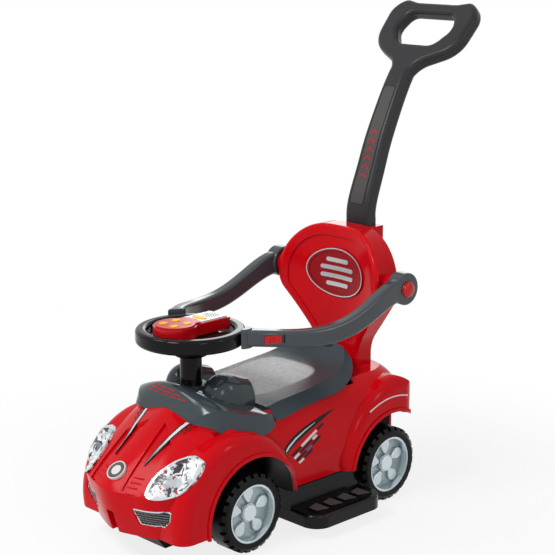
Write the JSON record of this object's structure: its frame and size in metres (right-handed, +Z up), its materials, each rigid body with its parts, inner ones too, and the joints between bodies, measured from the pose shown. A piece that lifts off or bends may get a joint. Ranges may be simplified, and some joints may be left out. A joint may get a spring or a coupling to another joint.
{
  "type": "push car",
  "caption": "Toddler ride-on push car with steering wheel, guard arms, storage seat, footboards and a parent's push handle.",
  "frame": {"origin": "on the ground, under the middle of the outline", "axes": "+X forward, +Y to the car's left, +Z up"},
  "size_m": [0.8921, 0.392, 0.9484],
  "materials": {
    "red_plastic": "gloss",
    "slate_plastic": "satin",
    "handle_plastic": "satin",
    "black_plastic": "satin",
    "tyre_plastic": "matte",
    "silver_plastic": "satin",
    "lamp_lens": "gloss",
    "grille_plastic": "satin",
    "badge_plate": "gloss",
    "panel_white": "gloss",
    "key_yellow": "gloss",
    "steel": "brushed"
  },
  "bodies": {
    "car": {"body_shell": "red_plastic", "chassis": "black_plastic", "head_lamp_left": "lamp_lens", "head_lamp_right": "lamp_lens", "fog_grille_left": "grille_plastic", "fog_grille_right": "grille_plastic", "nose_badge": "badge_plate", "footboard_left": "black_plastic", "footboard_right": "black_plastic", "cowl": "slate_plastic", "backrest_front": "red_plastic", "backrest_rear_cover": "red_plastic", "backrest_badge": "badge_plate", "backrest_badge_rim": "silver_plastic", "rear_axle": "steel", "rear_spacers": "black_plastic", "rear_push_nuts": "steel", "pivot_pin_left": "steel", "pivot_pin_right": "steel", "seat_hinge_pin": "steel"},
    "steering": {"steering_wheel": "black_plastic", "steering_column": "black_plastic", "steering_rod": "steel", "panel_base": "red_plastic", "panel_face": "panel_white", "crank_lever": "black_plastic"},
    "tie": {"tie_rod": "black_plastic"},
    "seat": {"seat_lid": "slate_plastic"},
    "handle": {"push_handle": "handle_plastic"},
    "lock": {"handle_lock_button": "red_plastic"},
    "oval_button": {"oval_key": "key_yellow"},
    "round_button_1": {"round_key_1": "key_yellow"},
    "round_button_2": {"round_key_2": "key_yellow"},
    "round_button_3": {"round_key_3": "key_yellow"},
    "round_button_4": {"round_key_4": "key_yellow"},
    "stub_left": {"kingpin_left": "steel", "knuckle_left": "black_plastic", "front_retainers_left": "steel"},
    "arm_left": {"guard_arm_left": "slate_plastic"},
    "latch_left": {"guard_latch_left": "red_plastic"},
    "pivot_press_left": {"pivot_button_left": "red_plastic"},
    "front_wheel_left": {"front_tyre_left": "tyre_plastic", "front_rim_left": "silver_plastic", "front_hub_cap_left": "silver_plastic"},
    "rear_wheel_left": {"rear_tyre_left": "tyre_plastic", "rear_rim_left": "silver_plastic", "rear_hub_cap_left": "silver_plastic"},
    "stub_right": {"kingpin_right": "steel", "knuckle_right": "black_plastic", "front_retainers_right": "steel"},
    "arm_right": {"guard_arm_right": "slate_plastic"},
    "latch_right": {"guard_latch_right": "red_plastic"},
    "pivot_press_right": {"pivot_button_right": "red_plastic"},
    "front_wheel_right": {"front_tyre_right": "tyre_plastic", "front_rim_right": "silver_plastic", "front_hub_cap_right": "silver_plastic"},
    "rear_wheel_right": {"rear_tyre_right": "tyre_plastic", "rear_rim_right": "silver_plastic", "rear_hub_cap_right": "silver_plastic"}
  },
  "joints": [
    {"name": "steer", "type": "hinge", "parent": "car", "child": "steering", "pos_m": [0.243, 0, 0.3], "axis": [0, 0, 1], "range_deg": [-25, 25]},
    {"name": "tie_slide", "type": "slide", "parent": "car", "child": "tie", "axis": [0, 1, 0], "range_m": [-0.015, 0.015]},
    {"name": "seat_lift", "type": "hinge", "parent": "car", "child": "seat", "pos_m": [0.154, 0, 0.249], "axis": [0, 1, 0], "range_deg": [0, 50]},
    {"name": "handle_pull", "type": "slide", "parent": "car", "child": "handle", "axis": [0, 0, 1], "range_m": [0, 0.1]},
    {"name": "lock_press", "type": "slide", "parent": "car", "child": "lock", "axis": [1, 0, 0], "range_m": [0, 0.003], "stiffness_N_per_m": 400},
    {"name": "oval_key_press", "type": "slide", "parent": "steering", "child": "oval_button", "axis": [0, 0, -1], "range_m": [0, 0.002], "stiffness_N_per_m": 300},
    {"name": "round_key_1_press", "type": "slide", "parent": "steering", "child": "round_button_1", "axis": [0, 0, -1], "range_m": [0, 0.002], "stiffness_N_per_m": 300},
    {"name": "round_key_2_press", "type": "slide", "parent": "steering", "child": "round_button_2", "axis": [0, 0, -1], "range_m": [0, 0.002], "stiffness_N_per_m": 300},
    {"name": "round_key_3_press", "type": "slide", "parent": "steering", "child": "round_button_3", "axis": [0, 0, -1], "range_m": [0, 0.002], "stiffness_N_per_m": 300},
    {"name": "round_key_4_press", "type": "slide", "parent": "steering", "child": "round_button_4", "axis": [0, 0, -1], "range_m": [0, 0.002], "stiffness_N_per_m": 300},
    {"name": "kingpin_turn_left", "type": "hinge", "parent": "car", "child": "stub_left", "pos_m": [0.2215, 0.06, 0.1], "axis": [0, 0, 1], "range_deg": [-25, 25]},
    {"name": "arm_lift_left", "type": "hinge", "parent": "car", "child": "arm_left", "pos_m": [-0.144, 0.1645, 0.433], "axis": [0, -1, 0], "range_deg": [0, 75]},
    {"name": "latch_slide_left", "type": "slide", "parent": "arm_left", "child": "latch_left", "axis": [-0.871, 0.4912, 0], "range_m": [0, 0.008], "stiffness_N_per_m": 150},
    {"name": "pivot_press_left", "type": "slide", "parent": "arm_left", "child": "pivot_press_left", "axis": [0, -1, 0], "range_m": [0, 0.003], "stiffness_N_per_m": 400},
    {"name": "front_wheel_left_spin", "type": "hinge", "parent": "stub_left", "child": "front_wheel_left", "pos_m": [0.2215, 0.116, 0.0735], "axis": [0, 1, 0], "continuous": true},
    {"name": "rear_wheel_left_spin", "type": "hinge", "parent": "car", "child": "rear_wheel_left", "pos_m": [-0.1455, 0.116, 0.0735], "axis": [0, 1, 0], "continuous": true},
    {"name": "kingpin_turn_right", "type": "hinge", "parent": "car", "child": "stub_right", "pos_m": [0.2215, -0.06, 0.1], "axis": [0, 0, 1], "range_deg": [-25, 25]},
    {"name": "arm_lift_right", "type": "hinge", "parent": "car", "child": "arm_right", "pos_m": [-0.144, -0.1645, 0.433], "axis": [0, -1, 0], "range_deg": [0, 75]},
    {"name": "latch_slide_right", "type": "slide", "parent": "arm_right", "child": "latch_right", "axis": [-0.871, -0.4912, 0], "range_m": [0, 0.008], "stiffness_N_per_m": 150},
    {"name": "pivot_press_right", "type": "slide", "parent": "arm_right", "child": "pivot_press_right", "axis": [0, 1, 0], "range_m": [0, 0.003], "stiffness_N_per_m": 400},
    {"name": "front_wheel_right_spin", "type": "hinge", "parent": "stub_right", "child": "front_wheel_right", "pos_m": [0.2215, -0.116, 0.0735], "axis": [0, 1, 0], "continuous": true},
    {"name": "rear_wheel_right_spin", "type": "hinge", "parent": "car", "child": "rear_wheel_right", "pos_m": [-0.1455, -0.116, 0.0735], "axis": [0, 1, 0], "continuous": true}
  ],
  "couplings": [
    {"joint": "tie_slide", "follows": "steer", "m_per_rad": -0.0342},
    {"joint": "kingpin_turn_left", "follows": "steer", "ratio": 1},
    {"joint": "kingpin_turn_right", "follows": "steer", "ratio": 1}
  ]
}
